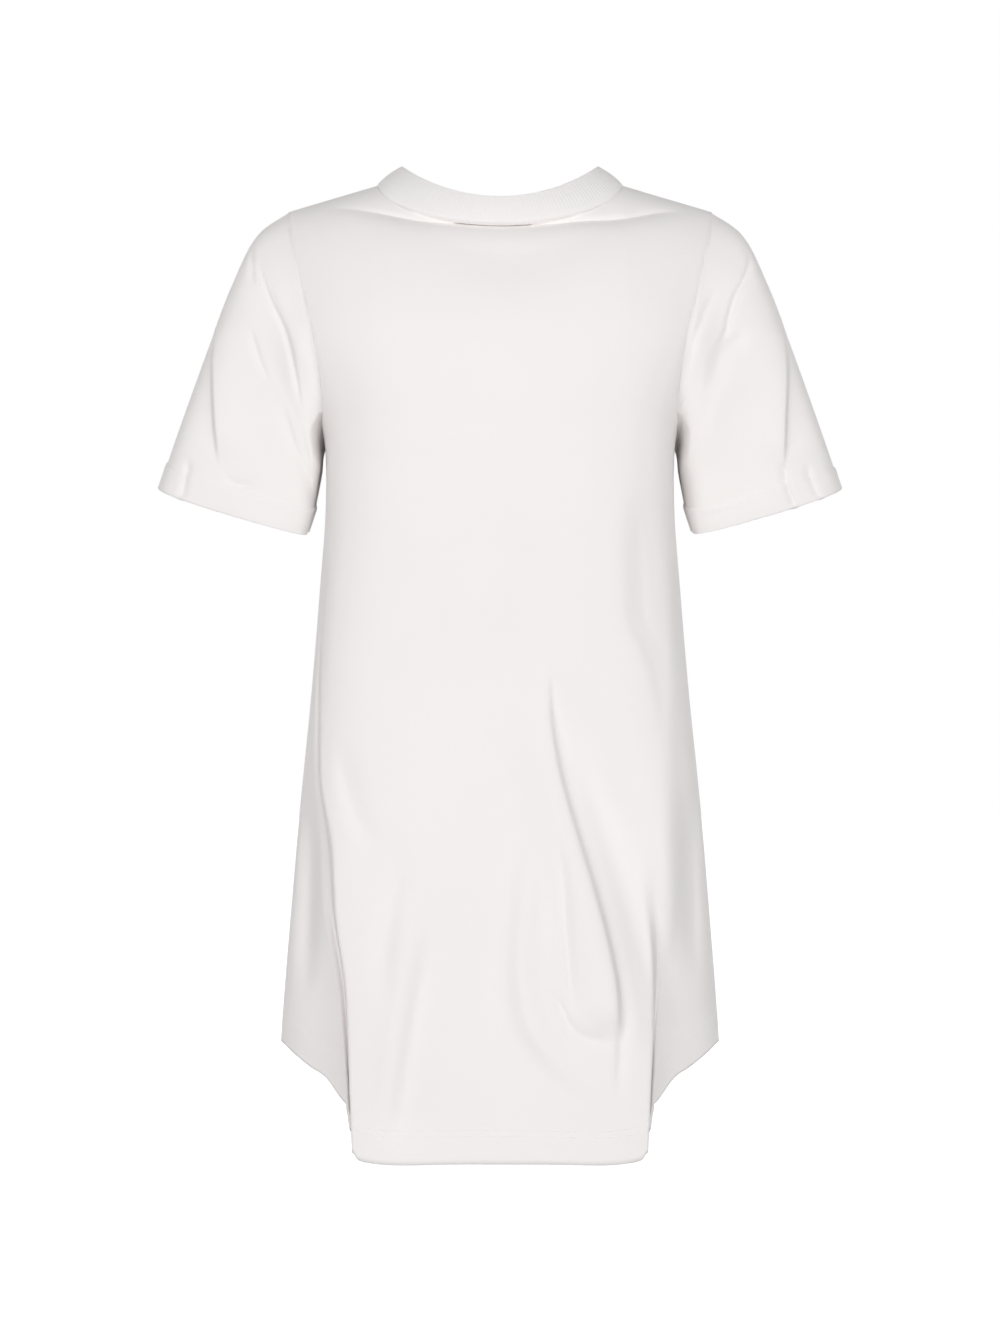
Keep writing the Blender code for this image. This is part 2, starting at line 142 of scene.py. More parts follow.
RIGHT_PLEAT = (
    Pleat(-0.13, 0.1050, 0.016, 0.0, 0.0),
    Pleat(-0.24, 0.1320, 0.010, 0.0, 0.0),
    Pleat(-0.40, 0.1360, 0.020, 0.0, 0.1),
    Pleat(-0.54, 0.1220, 0.034, 0.0, 0.25),
    Pleat(-0.62, 0.1240, 0.034, 0.004, 0.45),
    Pleat(-0.69, 0.1330, 0.016, 0.022, 0.85),
    Pleat(-0.74, 0.1345, 0.0060, 0.042, 1.0),
    Pleat(-0.80, 0.1320, 0.0045, 0.058, 1.0),
    Pleat(-0.88, 0.1280, 0.0045, 0.060, 1.0),
)
FRONT_PLEAT = (
    Pleat(-0.13, 0.1050, 0.016, 0.0, 0.0),
    Pleat(-0.24, 0.1280, 0.016, 0.0, 0.0),
    Pleat(-0.40, 0.1360, 0.020, 0.0, 0.1),
    Pleat(-0.54, 0.1300, 0.026, 0.004, 0.3),
    Pleat(-0.64, 0.1250, 0.030, 0.008, 0.5),
    Pleat(-0.74, 0.1200, 0.032, 0.012, 0.6),
    Pleat(-0.84, 0.1160, 0.034, 0.014, 0.6),
)
# Where a pleat's walls end, in mouths from its lip.
INNER_WALL_END = 0.4
FLOOR_END = 0.6
OUTER_WALL_END = 1.2
SIDE_SHARE = 0.88  # how much of the pleat's depth the cloth beyond it keeps
SIDE_BOW = 0.5  # under 1, the cloth beyond a pleat bows outwards on its way to the side seam
LEAST_SIDE = 0.25  # the least share of the way from lip to side seam that is left beyond a pleat

# The hem, by how far across a panel's half it is: 0 at the middle and 1 at the side seam.
Hem = namedtuple("Hem", "across height")
BACK_HEM = (
    Hem(0.0, -0.8692),
    Hem(0.42, -0.8690),
    Hem(0.50, -0.8672),
    Hem(0.53, -0.8655),
    Hem(0.56, -0.8595),
    Hem(0.60, -0.8585),
    Hem(0.64, -0.8480),
    Hem(0.68, -0.8310),
    Hem(0.72, -0.8215),
    Hem(0.76, -0.7990),
    Hem(0.80, -0.7902),
    Hem(0.87, -0.7778),
    Hem(0.94, -0.7700),
    Hem(1.0, -0.7690),
)
FRONT_HEM = (
    Hem(0.0, -0.8000),
    Hem(0.56, -0.7960),
    Hem(0.72, -0.7900),
    Hem(1.0, -0.7690),
)

# A sleeve's rings from the armhole to its hem, by their outermost and innermost points.
Ring = namedtuple("Ring", "along out_x out_z in_x in_z back_depth front_depth")
RINGS = (
    Ring(0.0, 0.1890, -0.0242, 0.1562, -0.2350, 0.062, 0.064),
    Ring(0.14, 0.2150, -0.0430, 0.1592, -0.2440, 0.067, 0.069),
    Ring(0.34, 0.2390, -0.0890, 0.1612, -0.2580, 0.066, 0.067),
    Ring(0.56, 0.2610, -0.1455, 0.1640, -0.2735, 0.063, 0.063),
    Ring(0.78, 0.2830, -0.2060, 0.1675, -0.2900, 0.060, 0.059),
    Ring(1.0, 0.3052, -0.2690, 0.1735, -0.3080, 0.057, 0.056),
)
SLEEVE_FLATNESS = 5.0
LEFT_INNER_FLATNESS = 9.0  # the same for the half of a sleeve that is nearer the body
RIGHT_INNER_FLATNESS = 6.0
BACK_DROOP = 0.010  # how far a sleeve's hem hangs below its two edges
FRONT_DROOP = 0.004
FRONT_SHARE = 0.6  # how much of a sleeve's folds its hidden front shows

# ---- Folds, as seen from the back: ridges where lift is over 0, troughs where it is under 0 ----
# left and right are how far each flank spreads, with left at +X; on a path that runs across, left is
# above it and right is below. A path runs (x, height), and its two ends die away over the shares first
# and last. A power under 2 makes the fold's middle line sharp.
Fold = namedtuple("Fold", "name lift left right first last path power", defaults=(2.0,))
COLLAR_CREASE = (
    (0.172, -0.0235), (0.150, -0.0240), (0.128, -0.0262), (0.1067, -0.0300), (0.071, -0.0370),
    (0.036, -0.0395), (-0.0095, -0.0412), (-0.036, -0.0403), (-0.072, -0.0372), (-0.1067, -0.0352),
    (-0.1423, -0.0283), (-0.176, -0.0260),
)
BACK_FOLDS = (
    # The long fold that runs down to the right, and the valley that it overlaps.
    Fold("long_fold", 0.0095, 0.030, 0.0026, 0.30, 0.10,
         ((-0.041, -0.425), (-0.0435, -0.482), (-0.0500, -0.521), (-0.0635, -0.571), (-0.0790, -0.6214),
          (-0.0925, -0.671), (-0.1010, -0.713), (-0.1045, -0.764))),
    Fold("long_line", -0.0050, 0.0026, 0.0080, 0.30, 0.12,
         ((-0.046, -0.420), (-0.0480, -0.482), (-0.0546, -0.521), (-0.0681, -0.571), (-0.0836, -0.6214),
          (-0.0971, -0.671), (-0.1056, -0.713), (-0.1091, -0.764))),
    Fold("long_valley", -0.0200, 0.024, 0.032, 0.40, 0.30,
         ((-0.058, -0.430), (-0.078, -0.521), (-0.110, -0.6214), (-0.134, -0.713), (-0.150, -0.800))),
    # The thin fold beside it, and the pocket at its foot.
    Fold("thin_fold", -0.0030, 0.0034, 0.0060, 0.30, 0.25,
         ((-0.0455, -0.570), (-0.0545, -0.612), (-0.0577, -0.661), (-0.0625, -0.718), (-0.0650, -0.745))),
    Fold("pocket", -0.0034, 0.0045, 0.0034, 0.40, 0.30,
         ((-0.044, -0.712), (-0.054, -0.732), (-0.0625, -0.750), (-0.070, -0.764))),
    Fold("pocket_foot", -0.0032, 0.0050, 0.0034, 0.30, 0.40,
         ((-0.062, -0.750), (-0.074, -0.759), (-0.086, -0.762), (-0.100, -0.7625))),
    # The swag that hangs round from the thin fold to the right edge.
    Fold("swag", 0.0062, 0.010, 0.014, 0.35, 0.30,
         ((-0.0345, -0.560), (-0.0250, -0.610), (-0.0197, -0.660), (-0.0200, -0.720), (-0.032, -0.757),
          (-0.058, -0.790), (-0.099, -0.828))),
    Fold("third_line", -0.0030, 0.0024, 0.0070, 0.40, 0.40,
         ((-0.1030, -0.700), (-0.1050, -0.761), (-0.1015, -0.822))),
    # The waist's hollow under the right arm, and the troughs beside the two side seams.
    Fold("waist_hollow", -0.0075, 0.013, 0.045, 0.35, 0.35,
         ((-0.127, -0.262), (-0.126, -0.340), (-0.131, -0.394), (-0.144, -0.420), (-0.155, -0.460))),
    Fold("waist_line", -0.0024, 0.0050, 0.016, 0.40, 0.40,
         ((-0.1150, -0.370), (-0.1190, -0.396), (-0.131, -0.418), (-0.141, -0.450), (-0.147, -0.500))),
    Fold("right_side", -0.0125, 0.013, 0.010, 0.35, 0.40,
         ((-0.1690, -0.520), (-0.1690, -0.590), (-0.1705, -0.650), (-0.174, -0.730))),
    Fold("left_side", -0.0130, 0.009, 0.009, 0.35, 0.40,
         ((0.1700, -0.540), (0.1690, -0.600), (0.1710, -0.670), (0.174, -0.740))),
    # Long soft folds of the left half.
    Fold("left_cup", -0.0034, 0.0070, 0.0130, 0.45, 0.30,
         ((0.142, -0.490), (0.1345, -0.540), (0.126, -0.568), (0.110, -0.604))),
    Fold("left_upper", -0.0030, 0.012, 0.008, 0.40, 0.40,
         ((0.081, -0.575), (0.092, -0.624), (0.101, -0.686), (0.103, -0.745))),
    Fold("left_ridge", 0.0036, 0.014, 0.010, 0.40, 0.30,
         ((0.070, -0.600), (0.080, -0.680), (0.095, -0.790), (0.103, -0.850))),
    Fold("left_trough", -0.0052, 0.0120, 0.020, 0.35, 0.20,
         ((0.048, -0.640), (0.0645, -0.700), (0.077, -0.768), (0.086, -0.836), (0.088, -0.868))),
    Fold("middle_trough", -0.0022, 0.016, 0.016, 0.40, 0.40,
         ((0.006, -0.640), (0.006, -0.740), (0.004, -0.820))),
    # The drag line under the collar: the cloth turns out sharply below it. Its core is the deepest part.
    Fold("collar_drag", -0.0075, 0.0140, 0.0085, 0.25, 0.15, COLLAR_CREASE, 1.2),
    Fold("collar_core", -0.0020, 0.0024, 0.0030, 0.25, 0.15, COLLAR_CREASE, 1.5),
    Fold("nape", -0.0045, 0.016, 0.026, 0.50, 0.50,
         ((0.110, -0.046), (0.050, -0.062), (0.0, -0.072), (-0.060, -0.064), (-0.130, -0.046))),
)
FRONT_FOLDS = (
    Fold("front_left", 0.0060, 0.020, 0.026, 0.35, 0.15,
         ((0.040, -0.420), (0.056, -0.600), (0.074, -0.800))),
    Fold("front_right", 0.0050, 0.026, 0.018, 0.35, 0.15,
         ((-0.046, -0.480), (-0.060, -0.640), (-0.070, -0.800))),
    Fold("front_middle", -0.0035, 0.016, 0.020, 0.40, 0.20,
         ((0.004, -0.540), (-0.006, -0.660), (-0.010, -0.800))),
    Fold("front_left_drag", -0.0030, 0.010, 0.016, 0.40, 0.40,
         ((0.142, -0.230), (0.120, -0.290), (0.102, -0.370))),
    Fold("front_right_drag", -0.0034, 0.014, 0.010, 0.40, 0.40,
         ((-0.140, -0.225), (-0.122, -0.280), (-0.108, -0.380))),
    Fold("front_left_neck", -0.0018, 0.010, 0.010, 0.40, 0.40,
         ((0.060, -0.120), (0.052, -0.170), (0.048, -0.230))),
)
LEFT_SLEEVE_FOLDS = (
    Fold("left_line", -0.0030, 0.0034, 0.0018, 0.25, 0.25,
         ((0.2147, -0.058), (0.2128, -0.080), (0.2030, -0.108), (0.1909, -0.132), (0.1817, -0.169),
          (0.1762, -0.208))),
    Fold("left_line_ridge", 0.0022, 0.0050, 0.0080, 0.30, 0.30,
         ((0.2060, -0.070), (0.2000, -0.090), (0.1930, -0.112), (0.1810, -0.145), (0.1740, -0.185))),
    Fold("left_nick", -0.0024, 0.0030, 0.0030, 0.30, 0.30,
         ((0.2220, -0.056), (0.2210, -0.076), (0.2200, -0.096))),
    Fold("left_deep", -0.0028, 0.0050, 0.0026, 0.30, 0.20,
         ((0.1735, -0.222), (0.1707, -0.260), (0.1634, -0.296))),
    Fold("left_diagonal", -0.0022, 0.0060, 0.0030, 0.40, 0.30,
         ((0.1950, -0.190), (0.1868, -0.222), (0.1760, -0.256), (0.1700, -0.280))),
    Fold("left_short", -0.0024, 0.0040, 0.0022, 0.35, 0.35,
         ((0.2220, -0.130), (0.2150, -0.155), (0.2055, -0.180))),
    Fold("left_edge", 0.0042, 0.0018, 0.022, 0.20, 0.25,
         ((0.2480, -0.112), (0.2533, -0.135), (0.2543, -0.184), (0.2514, -0.229), (0.2477, -0.256))),
    Fold("left_edge_side", -0.0040, 0.024, 0.0018, 0.20, 0.25,
         ((0.2525, -0.112), (0.2573, -0.135), (0.2583, -0.184), (0.2554, -0.229), (0.2517, -0.256))),
    Fold("left_curl", -0.0026, 0.0040, 0.0022, 0.30, 0.40,
         ((0.2470, -0.262), (0.2385, -0.2695), (0.2165, -0.2725))),
    Fold("left_hem_crease", -0.0026, 0.0040, 0.0030, 0.30, 0.10,
         ((0.2770, -0.245), (0.2785, -0.262), (0.2830, -0.284))),
)
RIGHT_SLEEVE_FOLDS = (
    Fold("right_line", -0.0034, 0.0022, 0.0040, 0.25, 0.30,
         ((-0.2217, -0.058), (-0.2217, -0.073), (-0.2172, -0.087), (-0.2089, -0.103), (-0.2033, -0.121),
          (-0.1997, -0.136), (-0.1887, -0.155))),
    Fold("right_arc", -0.0030, 0.0060, 0.0090, 0.35, 0.35,
         ((-0.1790, -0.178), (-0.1870, -0.164), (-0.2000, -0.149), (-0.2253, -0.141))),
    Fold("right_bulge", 0.0030, 0.012, 0.014, 0.40, 0.40,
         ((-0.2120, -0.160), (-0.1950, -0.185), (-0.1850, -0.225), (-0.1850, -0.265))),
    Fold("right_seam_wrinkle", -0.0022, 0.0030, 0.0040, 0.40, 0.30,
         ((-0.1940, -0.092), (-0.1800, -0.122), (-0.1700, -0.148), (-0.1640, -0.175))),
    Fold("right_deep", -0.0065, 0.0026, 0.0070, 0.25, 0.25,
         ((-0.1585, -0.185), (-0.1580, -0.228), (-0.1600, -0.258), (-0.1670, -0.306))),
    Fold("right_edge", 0.0044, 0.022, 0.0018, 0.20, 0.20,
         ((-0.2480, -0.115), (-0.2518, -0.133), (-0.2539, -0.155), (-0.2528, -0.214), (-0.2510, -0.258))),
    Fold("right_edge_side", -0.0040, 0.0018, 0.024, 0.20, 0.20,
         ((-0.2520, -0.115), (-0.2558, -0.133), (-0.2579, -0.155), (-0.2568, -0.214), (-0.2550, -0.258))),
    Fold("right_hem_crease", -0.0032, 0.0040, 0.0026, 0.20, 0.10,
         ((-0.2520, -0.250), (-0.2565, -0.273), (-0.2640, -0.293))),
    Fold("right_second_crease", -0.0022, 0.0035, 0.0030, 0.30, 0.10,
         ((-0.2740, -0.250), (-0.2750, -0.262), (-0.2840, -0.284))),
)

# ---- How finely each piece is divided ----
PANEL_COLUMNS = 240
RAW_COLUMNS = 640
SLEEVE_AROUND = 300
RAW_AROUND = 900
SLEEVE_ROWS = 150
LIP_COLUMN, FLOOR_COLUMN, FAR_COLUMN = 0.56, 0.64, 0.72
CREASE_CROWDING = 0.014  # metres of bend radius at which columns are twice as close
MOST_CROWDING = 3.5
EDGE_CROWDING = 0.005  # columns also crowd this close to a panel's sides
EDGE_CROWD = 1.5
BEND_BLUR = 0.003
ROW_BLUR = 4.0  # rows over which the columns' places are evened out
PIN_AT_SIDE = 0.006  # folds die away this close to a side seam, and to a sleeve's armhole
PIN_AT_TOP = 0.0016
PIN_AT_SLEEVE_SIDE = 0.015


# ======== Curves ========
def curve(keys, values, at):
    """The value at each place on a smooth curve through the values at rising keys."""
    slopes = np.gradient(values, keys)
    at = np.clip(at, keys[0], keys[-1])
    i = np.clip(np.searchsorted(keys, at) - 1, 0, len(keys) - 2)
    span = keys[i + 1] - keys[i]
    t = (at - keys[i]) / span
    start = (1 + 2 * t) * (1 - t) ** 2 * values[i] + t * (1 - t) ** 2 * span * slopes[i]
    end = t**2 * (3 - 2 * t) * values[i + 1] - t**2 * (1 - t) * span * slopes[i + 1]
    return start + end


def read(rows, column, at):
    """A table's column at each place along its first column."""
    rows = sorted(rows)
    keys = np.array([row[0] for row in rows])
    values = np.array([getattr(row, column) for row in rows])
    return curve(keys, values, at)


def ease(share):
    """0 below 0 and 1 above 1, with a smooth climb between."""
    share = np.clip(share, 0.0, 1.0)
    return share * share * (3 - 2 * share)


def lengths(points, axis):
    """How far along a grid's lines each point is, starting from 0."""
    steps = np.linalg.norm(np.diff(points, axis=axis), axis=-1)
    start = np.zeros_like(np.take(steps, [0], axis=axis))
    return np.concatenate([start, np.cumsum(steps, axis=axis)], axis=axis)


# ======== The body's form ========
def shoulder_line(x):
    """The height of the shoulder seam, carried on level across the neck."""
    return SHOULDER_HEIGHT - SHOULDER_FALL * np.maximum(np.abs(x) - NECK_HALF_WIDTH, 0.0)


def rounding(x, z, facing):
    """How much of its full depth the body has reached, this far below the shoulder line."""
    reach, power = (BACK_REACH, BACK_ROUNDNESS) if facing > 0 else (FRONT_REACH, FRONT_ROUNDNESS)
    left = np.clip(1 - (shoulder_line(x) - z) / reach, 0.0, 1.0)
    return np.sqrt(1 - left**power)


def body_edge(z):
    """Half a panel's width: to the armhole seam, and below the underarm to the side seam."""
    half = read(SECTIONS, "half_width", z)
    flatness = read(SECTIONS, "flatness", z)
    # Just over the underarm the seam leaves the side evenly, up to this share of the body's depth.
    share = np.clip((z - UNDERARM_HEIGHT) / UNDERARM_CURVE, 0.0, 1.0) * UNDERARM_REACH
    turning = half * (1 - share**flatness) ** (1 / flatness)
    return np.where(z > UNDERARM_HEIGHT, np.maximum(read(ARMHOLE, "half_width", z), turning), half)


def section_angle(x, z):
    """The angle round a level section, from its middle to its side, at which it reaches x."""
    share = np.clip(np.abs(x) / read(SECTIONS, "half_width", z), 0.0, 1.0)
    return np.arcsin(share ** (read(SECTIONS, "flatness", z) / 2))


def smooth_depth(x, z, facing):
    """The y of the body without its pleats."""
    depth = read(SECTIONS, "back_depth" if facing > 0 else "front_depth", z)
    across = np.cos(section_angle(x, z)) ** (2 / read(SECTIONS, "flatness", z))
    return facing * depth * across * rounding(x, z, facing)


def pleat_for(side, facing):
    """The table of the pleat on one side of a panel."""
    if facing < 0:
        return FRONT_PLEAT
    return LEFT_PLEAT if side > 0 else RIGHT_PLEAT


def pleated_depth(x, z, half, facing):
    """The y of the body with its pleats, and with the cloth beyond each that slants to the side."""
    table = pleat_for(half, facing)
    lip = read(table, "lip", z)
    mouth = read(table, "mouth", z)
    depth = np.maximum(read(table, "depth", z), 0.0)
    slant = read(table, "slant", z)
    out = np.abs(x)
    edge = body_edge(z)
    inner = ease((out - lip) / (INNER_WALL_END * mouth))
    outer = ease((out - lip - FLOOR_END * mouth) / ((OUTER_WALL_END - FLOOR_END) * mouth))
    smooth = smooth_depth(x, z, facing)
    start = smooth_depth(lip, z, facing) - facing * depth * SIDE_SHARE
    side = start * np.clip((edge - out) / (edge - lip), 0.0, 1.0) ** SIDE_BOW
    beyond = smooth * (1 - slant) + side * slant
    return (smooth - facing * depth * inner) * (1 - outer) + beyond * outer


def fold_lift(fold, x, z):
    """How far one fold lifts the cloth at (x, z). Its path is followed along its longer direction."""
    path = np.array(fold.path)
    run = int(np.ptp(path[:, 1]) > np.ptp(path[:, 0]))
    at, off = (z, x) if run else (x, z)
    first, last = fold.first, fold.last
    if path[0, run] > path[-1, run]:
        path = path[::-1]
        first, last = last, first
    keys, places = path[:, run], path[:, 1 - run]
    share = (at - keys[0]) / (keys[-1] - keys[0])
    fade = ease(share / first) * ease((1 - share) / last)
    steepness = curve(keys, np.gradient(places, keys), at)
    off = (off - curve(keys, places, at)) / np.sqrt(1 + steepness**2)
    spread = np.where(off > 0, fold.left, fold.right)
    return fold.lift * fade * np.exp(-(np.abs(off / spread) ** fold.power))


def neck_seam(share, facing):
    """(x, z) of the neck seam: share is 0 at the middle and 1 at the shoulder."""
    angle = share * np.pi / 2
    drop = BACK_NECK_DROP if facing > 0 else FRONT_NECK_DROP
    return NECK_HALF_WIDTH * np.sin(angle), SHOULDER_HEIGHT - drop * np.cos(angle) ** NECK_CURVE


def top_edge(across, facing):
    """(x, z) along a panel's top: the neck seam, then the shoulder seam."""
    x_neck, z_neck = neck_seam(np.clip(across / LIP_COLUMN, 0.0, 1.0), facing)
    out = np.clip((across - LIP_COLUMN) / (1 - LIP_COLUMN), 0.0, 1.0)
    x = x_neck + out * (SHOULDER_HALF_WIDTH - NECK_HALF_WIDTH)
    return x, np.where(out > 0, shoulder_line(x), z_neck)


def level_x(across, z, side, facing):
    """The x of each column at each height, with the fixed columns along the pleat."""
    table = pleat_for(side, facing)
    lip, mouth = read(table, "lip", z), read(table, "mouth", z)
    edge = body_edge(z)
    far = np.minimum(lip + OUTER_WALL_END * mouth, edge - LEAST_SIDE * (edge - lip))
    marks = (np.zeros_like(z), lip, lip + FLOOR_END * mouth, far, edge)
    angles = [section_angle(mark, z) for mark in marks]
    columns = (0.0, LIP_COLUMN, FLOOR_COLUMN, FAR_COLUMN, 1.0)
    angle = np.zeros_like(z)
    for k in range(len(columns) - 1):
        share = np.clip((across - columns[k]) / (columns[k + 1] - columns[k]), 0.0, 1.0)
        angle = angle + share * (angles[k + 1] - angles[k])
    return read(SECTIONS, "half_width", z) * np.sin(angle) ** (2 / read(SECTIONS, "flatness", z))


def panel_half(across, rows, side, facing):
    """A half of a panel as a grid of x, y and z, before it is smoothed and creased."""
    across, rows = np.meshgrid(across, rows)
    x_top, z_top = top_edge(across, facing)
    hem = read(BACK_HEM if facing > 0 else FRONT_HEM, "height", across)
    yoke = np.clip(rows, 0.0, 1.0)
    middle = np.clip(rows - 1, 0.0, 1.0)
    skirt = np.clip(rows - 2, 0.0, 1.0)
    z = z_top + yoke * (UNDERARM_HEIGHT - z_top)
    z = z + middle * (LAST_LEVEL_ROW - UNDERARM_HEIGHT) + skirt * (hem - LAST_LEVEL_ROW)
    level = level_x(across, z, side, facing)
    top = x_top * body_edge(z) / SHOULDER_HALF_WIDTH
    x = np.where(rows > 0, top + (level - top) * ease(yoke / LEVEL_FROM), x_top)
    y = pleated_depth(x, z, side, facing)
    return np.stack([side * x, y, z], axis=-1)


# ======== Grids of cloth ========
def blur(values, sigma, axis, closed=False):
    """Values smoothed along one axis with a Gaussian of sigma steps. An open line keeps its ends."""
    reach = max(1, int(3 * sigma))
    weights = np.exp(-0.5 * (np.arange(-reach, reach + 1) / sigma) ** 2)
    weights /= weights.sum()
    values = np.moveaxis(values, axis, 0)
    if closed:
        before, after = values[-reach:], values[:reach]
    else:
        before = 2 * values[:1] - values[reach:0:-1]
        after = 2 * values[-1:] - values[-2 : -reach - 2 : -1]
    padded = np.concatenate([before, values, after])
    smooth = sum(weight * padded[k : k + len(values)] for k, weight in enumerate(weights))
    return np.moveaxis(smooth, 0, axis)


def sample(row, places):
    """The points at the given places along a row of points, in metres from its start."""
    along = lengths(row[None], 1)[0]
    return np.stack([np.interp(places, along, row[:, k]) for k in range(row.shape[1])], axis=-1)


def respace(grid, columns, closed=False):
    """Rounds each row's sharp bends, and spaces its columns so that they crowd where the cloth bends."""
    fine_count = grid.shape[1] * 2
    fines, spaced = [], []
    for row in grid:
        if closed:
            row = np.concatenate([row, row[:1]])
        length = lengths(row[None], 1)[0, -1]
        step = length / fine_count
        fine = sample(row, np.arange(fine_count + 1) * step)
        if closed:
            fine = fine[:-1]
        fine = blur(fine, SOFTNESS / step, 0, closed)
        bend = np.zeros(len(fine))
        turn = np.roll(fine, -1, axis=0) - 2 * fine + np.roll(fine, 1, axis=0)
        bend[2:-2] = np.linalg.norm(turn, axis=1)[2:-2] / step**2
        crowd = 1 + np.minimum(blur(bend, BEND_BLUR / step, 0, closed) * CREASE_CROWDING, MOST_CROWDING)
        if closed:
            fine = np.concatenate([fine, fine[:1]])
            crowd = np.concatenate([crowd, crowd[:1]])
        else:
            from_end = np.minimum(np.arange(len(fine)), np.arange(len(fine))[::-1]) * step
            crowd += EDGE_CROWD * np.exp(-((from_end / EDGE_CROWDING) ** 2))
        share = np.concatenate([[0.0], np.cumsum((crowd[1:] + crowd[:-1]) / 2)])
        share /= share[-1]
        steps = np.linspace(0.0, 1.0, columns + 1)[:-1] if closed else np.linspace(0.0, 1.0, columns)
        spaced.append(np.interp(steps, share, np.linspace(0.0, 1.0, len(fine))))
        fines.append(fine)
    spaced = blur(np.array(spaced), ROW_BLUR, 0)
    made = [sample(fine, places * lengths(fine[None], 1)[0, -1]) for fine, places in zip(fines, spaced)]
    return np.array(made)


def normals(grid, closed=False):
    """The outward normal of a grid whose columns run from the wearer's left to right as seen from outside."""
    if closed:
        across = np.roll(grid, -1, axis=1) - np.roll(grid, 1, axis=1)
    else:
        across = np.gradient(grid, axis=1)
    down = np.gradient(grid, axis=0)
    normal = np.cross(down, across)
    return normal / np.maximum(np.linalg.norm(normal, axis=-1, keepdims=True), 1e-12)


class Cloth:
    """A shell of cloth on a grid of points on its middle face, with a face out and a face in."""

    def __init__(self, name, grid, closed):
        self.name, self.grid, self.closed = name, grid, closed
        self.shape = grid.shape[:2]
        self.normal = normals(grid, closed)

    def move(self, distance):
        """Moves the grid along its normals."""
        self.grid = self.grid + self.normal * distance[..., None]
        self.normal = normals(self.grid, self.closed)

    def build(self, inside, slot, material, pattern):
        """Makes the mesh: inside is the depth of the inner face below the outer one, at each point."""
        rows, columns = self.shape
        outer = self.grid + self.normal * OUTER_FACE
        inner = outer - self.normal * inside[..., None]
        points = np.concatenate([outer.reshape(-1, 3), inner.reshape(-1, 3)])
        index = np.arange(rows * columns).reshape(rows, columns)
        if self.closed:
            index = np.concatenate([index, index[:, :1]], axis=1)
        a, b = index[:-1, :-1].ravel(), index[1:, :-1].ravel()
        c, d = index[1:, 1:].ravel(), index[:-1, 1:].ravel()
        out = np.stack([a, b, c, d], axis=1)
        n = rows * columns
        faces = [out, out[:, ::-1] + n]
        faces.append(rim(index[0][::-1], n))
        faces.append(rim(index[-1], n))
        if not self.closed:
            faces.append(rim(index[:, 0], n))
            faces.append(rim(index[::-1, -1], n))
        return mesh_object(self.name, points, np.concatenate(faces), pattern, material)


def rim(line, n):
    """The narrow faces that close a shell along one line of its outer face."""
    a, b = line[:-1], line[1:]
    return np.stack([b, a, a + n, b + n], axis=1)


def mesh_object(name, points, faces, pattern, material):
    """A smooth-shaded mesh of four-sided faces. pattern is where each point is in the flat cloth."""
    mesh = bpy.data.meshes.new(name)
    mesh.vertices.add(len(points))
    mesh.vertices.foreach_set("co", points.astype(np.float32).ravel())
    mesh.loops.add(faces.size)
    mesh.loops.foreach_set("vertex_index", faces.astype(np.int32).ravel())
    mesh.polygons.add(len(faces))
    mesh.polygons.foreach_set("loop_start", np.arange(0, faces.size, 4, dtype=np.int32))
    mesh.polygons.foreach_set("loop_total", np.full(len(faces), 4, dtype=np.int32))
    mesh.update(calc_edges=True)
    if pattern is not None:
        layer = mesh.uv_layers.new(name="cloth")
        layer.data.foreach_set("uv", pattern[faces.ravel()].astype(np.float32).ravel())
    mesh.shade_smooth()
    mesh.materials.append(material)
    piece = bpy.data.objects.new(name, mesh)
    bpy.context.scene.collection.objects.link(piece)
    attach(piece, "root")
    return piece


def flat_pattern(grid):
    """Where each point of a grid lies in the flat cloth, in metres, for both faces of the shell."""
    across = lengths(grid, 1)
    across = across - across[:, [across.shape[1] // 2]]
    down = lengths(grid, 0)
    both = np.stack([across, down], axis=-1).reshape(-1, 2)
    return np.concatenate([both, both])


NOISE_WAVES = 24
UPRIGHTNESS = 0.45  # under 1, the waves run mostly up and down, as in hanging cloth
PANEL_SEED = 3
SLEEVE_SEED = 11


def surface_noise(grid, scale, seed):
    """Soft, even unevenness from a few dozen waves in seeded random directions."""
    rng = np.random.default_rng(seed)
    total = np.zeros(grid.shape[:2])
    for _ in range(NOISE_WAVES):
        direction = rng.normal(size=3)
        direction[2] *= UPRIGHTNESS
        direction *= 2 * np.pi / (scale * rng.uniform(0.7, 1.6) * np.linalg.norm(direction))
        total += np.sin(grid @ direction + rng.uniform(0, 2 * np.pi))
    return total / math.sqrt(NOISE_WAVES)


